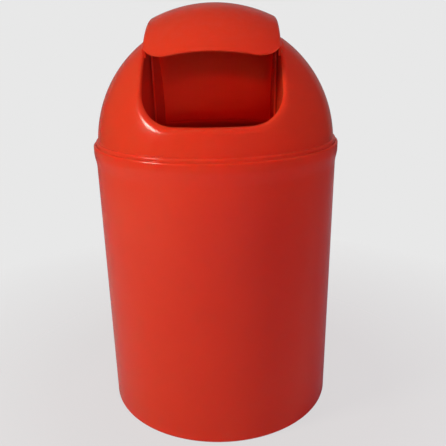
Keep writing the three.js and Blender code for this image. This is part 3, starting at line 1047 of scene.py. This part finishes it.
def steel_material(finish, moulding):
    """Zinc-plated spring steel with an uneven grain and small spangles."""
    _, nodes, links, shader, vector = bare_material(STEEL_FINISH)
    cells = nodes.new("ShaderNodeTexVoronoi")
    cells.inputs["Scale"].default_value = 1500.0
    links.new(vector, cells.inputs["Vector"])
    surface = add_group(
        nodes, links, moulding, vector,
        Colour=opaque(finish.steel), Deep_Colour=opaque(finish.steel, finish.steel_deep),
        Flow_Scale=200.0, Ripple_Scale=2500.0, Gloss_Low=0.24, Gloss_High=0.42,
    )
    spangle = ranged(nodes, links, cells.outputs["Distance"], 0.0, 0.8, to_low=0.0, to_high=0.25)
    tint = mixed(nodes, links, spangle, surface["Colour"], opaque(finish.spangle))
    links.new(tint, shader.inputs["Base Color"])
    links.new(surface["Roughness"], shader.inputs["Roughness"])
    shader.inputs["Metallic"].default_value = 1.0
    add_bump(nodes, links, shader, surface["Height"], finish.steel_grain)


# Studio


def floor_material(studio):
    """Matt paper near the receptacle, which fades into the background for the camera."""
    material, nodes, links, shader, vector = bare_material("floor_paper")
    tooth = noise(nodes, links, vector, scale=700.0, detail=3)
    darker = opaque(studio.floor, studio.floor_tooth)
    links.new(mixed(nodes, links, tooth, opaque(studio.floor), darker), shader.inputs["Base Color"])
    shader.inputs["Roughness"].default_value = 0.9
    shader.inputs["Specular IOR Level"].default_value = 0.1
    seen = nodes.new("ShaderNodeLightPath").outputs["Is Camera Ray"]
    glow = nodes.new("ShaderNodeEmission")
    glow.inputs["Color"].default_value = opaque(studio.background)
    lifted = math_node(nodes, links, "MULTIPLY", seen, studio.floor_lift)
    near = mixed_shader(nodes, links, lifted, shader.outputs[0], glow.outputs[0])
    away = nodes.new("ShaderNodeVectorMath")
    away.operation = "LENGTH"
    links.new(vector, away.inputs[0])
    fade = ranged(nodes, links, away.outputs["Value"], studio.fade_start, studio.fade_end)
    faded = math_node(nodes, links, "MULTIPLY", fade, seen)
    clear = nodes.new("ShaderNodeBsdfTransparent")
    surface = mixed_shader(nodes, links, faded, near, clear.outputs[0])
    links.new(surface, nodes["Material Output"].inputs["Surface"])
    return material


def add_floor(studio):
    clear_selection()
    bpy.ops.mesh.primitive_circle_add(vertices=128, radius=studio.floor_radius, fill_type="NGON")
    floor = bpy.context.object
    floor.name = "floor"
    floor.data.materials.append(floor_material(studio))


def add_lamp(name, place, target, size, spread, power, tint):
    """A rectangular lamp aimed at a target. Only the key lamp shows in the gloss."""
    clear_selection()
    bpy.ops.object.light_add(type="AREA", location=place)
    lamp = bpy.context.object
    lamp.name = name
    lamp.rotation_euler = (Vector(target) - Vector(place)).to_track_quat("-Z", "Y").to_euler()
    lamp.data.shape = "RECTANGLE"
    lamp.data.size, lamp.data.size_y = size
    lamp.data.energy = power
    lamp.data.color = tint
    lamp.data.spread = math.radians(spread)
    lamp.visible_glossy = name == "key"


def add_lamps(studio):
    """The lamps: each one's place, what it is aimed at, its two sizes, and its spread in
    degrees. Their powers and colours are among the studio's settings."""
    middle, mouth = (0, 0, 0.40), (0.02, 0.15, 0.56)
    wide, narrow = 180, 20
    lamps = {
        "key": ((-1.50, -0.92, 1.20), middle, (0.42, 0.42), wide),
        "top": ((0.10, -0.10, 2.20), middle, (1.0, 1.0), wide),
        "mouth": ((0.10, -1.50, 0.60), mouth, (0.12, 0.12), narrow),
        "front": ((0.30, -1.60, 0.64), middle, (1.2, 0.3), wide),
        "side": ((1.30, 0.10, 1.30), middle, (0.5, 0.5), wide),
        "back": ((0.30, 1.70, 0.90), middle, (1.0, 1.0), wide),
    }
    for name, layout in lamps.items():
        power, tint = getattr(studio, f"{name}_power"), getattr(studio, f"{name}_colour")
        add_lamp(name, *layout, power, tint)


def set_world(studio):
    """Room light on the receptacle. The camera sees the plain background instead, and the
    gloss mirrors a dim room that is lighter straight behind the receptacle."""
    world = bpy.data.worlds.new("room")
    bpy.context.scene.world = world
    world.use_nodes = True
    nodes, links = world.node_tree.nodes, world.node_tree.links
    room = nodes["Background"]
    room.inputs["Color"].default_value = opaque(studio.room_colour)
    room.inputs["Strength"].default_value = studio.ambient
    heading = nodes.new("ShaderNodeSeparateXYZ")
    links.new(nodes.new("ShaderNodeTexCoord").outputs["Generated"], heading.inputs[0])
    behind = ranged(nodes, links, heading.outputs["Y"], studio.wall_start, 1.0)
    dim, wall = opaque((studio.dim,) * 3), opaque((studio.wall_light,) * 3)
    mirrored_room = mixed(nodes, links, behind, dim, wall)
    path = nodes.new("ShaderNodeLightPath").outputs
    straight = math_node(nodes, links, "ADD", path["Is Camera Ray"], path["Is Transmission Ray"])
    seen = nodes.new("ShaderNodeBackground")
    tint = mixed(nodes, links, straight, mirrored_room, opaque(studio.background))
    links.new(tint, seen.inputs["Color"])
    visible = math_node(nodes, links, "ADD", straight, path["Is Glossy Ray"], clamp=True)
    blend = mixed_shader(nodes, links, visible, room.outputs[0], seen.outputs[0])
    links.new(blend, nodes["World Output"].inputs["Surface"])


def add_camera(studio):
    clear_selection()
    bpy.ops.object.camera_add()
    camera = bpy.context.object
    camera.data.lens = studio.lens
    camera.data.sensor_width = 36
    camera.data.clip_start, camera.data.clip_end = 0.01, 100
    camera.matrix_world = (
        Matrix.Rotation(studio.turn, 4, "Z")
        @ Matrix.Translation((0, -studio.distance, studio.height))
        @ Matrix.Rotation(-studio.pan, 4, "Z")
        @ Matrix.Rotation(QUARTER_TURN - studio.tilt, 4, "X")
        @ Matrix.Rotation(studio.roll, 4, "Z")
    )
    bpy.context.scene.camera = camera


# Operators


class RECEPTACLE_OT_finishes(Operator):
    """Makes the plastic, nylon and steel finishes"""

    bl_idname = "receptacle.finishes"
    bl_label = "Finishes"
    bl_options = {"REGISTER", "UNDO"}

    def execute(self, context):
        finish = context.scene.receptacle.finish
        moulding, handling = moulding_group(), handling_group()
        # Height up to which rubbing is full, how far above it fades out, amount of scratches
        shells = {
            PAIL_FINISH: (0.0, 0.06, 1.0),
            LID_FINISH: (PAIL_HIGH.z - 0.01, 0.03, 0.8),
            HOOD_FINISH: (HOOD_LOW.z, 0.05, 0.6),
        }
        for name, wear in shells.items():
            shell_material(finish, name, moulding, handling, *wear)
        nylon_material(finish, moulding)
        steel_material(finish, moulding)
        return {"FINISHED"}


class RECEPTACLE_OT_pail(Operator):
    """Builds the pail: one turned profile from the bottom over the rim and down inside"""

    bl_idname = "receptacle.pail"
    bl_label = "Pail"
    bl_options = {"REGISTER", "UNDO"}

    def execute(self, context):
        settings = context.scene.receptacle
        piece = turned("pail_body", pail_profile(settings.pail), "Z", settings.turn_steps)
        finish_piece(piece, "pail", "pail", PAIL_FINISH)
        return {"FINISHED"}


class RECEPTACLE_OT_dome_lid(Operator):
    """Builds the dome lid: its skin with the rolled mouth, side walls, bosses and stops"""

    bl_idname = "receptacle.dome_lid"
    bl_label = "Dome Lid"
    bl_options = {"REGISTER", "UNDO"}

    def execute(self, context):
        settings = context.scene.receptacle
        hood = settings.hood
        lid = lid_skin(settings.lid)
        web = side_wall(settings)
        travel = math.radians(HINGE["range_deg"][1])
        small = [
            pin_boss(settings),
            stop_rib("open_stop", settings, hood.arm_rear, 1),
            stop_rib("closed_stop", settings, hood.arm_front - travel, -1),
        ]
        other_web = mirrored(web, "left_web")
        small += [mirrored(part, part.name + "_left") for part in small]
        cut(lid, web, "UNION")
        cut(lid, other_web, "UNION")
        join(lid, small)
        lid.name = "dome_lid_shell"
        finish_piece(lid, "dome_lid", "lid", LID_FINISH)
        return {"FINISHED"}


class RECEPTACLE_OT_hood(Operator):
    """Builds the hood: its rounded shell and the two arms that turn on the pivots"""

    bl_idname = "receptacle.hood"
    bl_label = "Hood"
    bl_options = {"REGISTER", "UNDO"}

    def execute(self, context):
        settings = context.scene.receptacle
        shell = hood_skin(settings)
        arm = hood_arm(settings)
        other_arm = mirrored(arm, "left_arm")
        cut(shell, arm, "UNION")
        cut(shell, other_arm, "UNION")
        apply_modifier(
            shell, "BEVEL", width=settings.hood.edge_bevel, segments=EDGE_SEGMENTS,
            limit_method="ANGLE", angle_limit=SHARP_ANGLE,
        )
        shell.name = "hood_shell"
        finish_piece(shell, "hood", "hood", HOOD_FINISH)
        return {"FINISHED"}


class RECEPTACLE_OT_pivots(Operator):
    """Turns the pivot pins, the flanged bushes and the retaining clips"""

    bl_idname = "receptacle.pivots"
    bl_label = "Pivots"
    bl_options = {"REGISTER", "UNDO"}

    def execute(self, context):
        settings = context.scene.receptacle
        pivot = settings.pivot
        kinds = (
            ("pivot_pin", pin_profile(pivot), "lid", "pivot_nylon", NYLON_FINISH),
            ("pivot_bush", bush_profile(pivot), "hood", "pivot_nylon", NYLON_FINISH),
            ("retaining_clip", clip_profile(pivot), "lid", "clip_steel", STEEL_FINISH),
        )
        for kind, profile, body, slot, finish in kinds:
            right = turned(f"{kind}_right", profile, "X", settings.small_steps)
            left = mirrored(right, f"{kind}_left")
            finish_piece(right, f"right_{kind}", body, finish)
            finish_piece(left, f"left_{kind}", body, finish)
        return {"FINISHED"}


class RECEPTACLE_OT_studio(Operator):
    """Sets the floor, the lamps, the background and the camera"""

    bl_idname = "receptacle.studio"
    bl_label = "Studio"
    bl_options = {"REGISTER", "UNDO"}

    def execute(self, context):
        studio = context.scene.receptacle.studio
        add_floor(studio)
        add_lamps(studio)
        set_world(studio)
        add_camera(studio)
        context.scene.view_settings.view_transform = "Standard"
        return {"FINISHED"}


class RECEPTACLE_PT_panel(Panel):
    """Lists the receptacle's pieces and settings"""

    bl_label = "Receptacle"
    bl_idname = "RECEPTACLE_PT_panel"
    bl_space_type = "VIEW_3D"
    bl_region_type = "UI"
    bl_category = "Receptacle"

    def draw(self, context):
        settings = context.scene.receptacle
        for operator in OPERATORS:
            self.layout.operator(operator.bl_idname)
        groups = (
            settings.pail, settings.lid, settings.hood, settings.pivot, settings.finish,
            settings.studio,
        )
        for group in groups:
            box = self.layout.box()
            for name in group.bl_rna.properties.keys():
                if name not in {"rna_type", "name"}:
                    box.prop(group, name)


OPERATORS = (
    RECEPTACLE_OT_finishes,
    RECEPTACLE_OT_pail,
    RECEPTACLE_OT_dome_lid,
    RECEPTACLE_OT_hood,
    RECEPTACLE_OT_pivots,
    RECEPTACLE_OT_studio,
)
CLASSES = (
    PailSizes, LidSizes, HoodSizes, PivotSizes, FinishSettings, StudioSettings,
    ReceptacleSettings, *OPERATORS, RECEPTACLE_PT_panel,
)


def register():
    for cls in CLASSES:
        bpy.utils.register_class(cls)
    bpy.types.Scene.receptacle = PointerProperty(type=ReceptacleSettings)


def unregister():
    del bpy.types.Scene.receptacle
    for cls in reversed(CLASSES):
        bpy.utils.unregister_class(cls)


def main():
    register()
    bpy.ops.receptacle.finishes()
    bpy.ops.receptacle.pail()
    bpy.ops.receptacle.dome_lid()
    bpy.ops.receptacle.hood()
    bpy.ops.receptacle.pivots()
    bpy.ops.receptacle.studio()


if __name__ == "__main__":
    main()
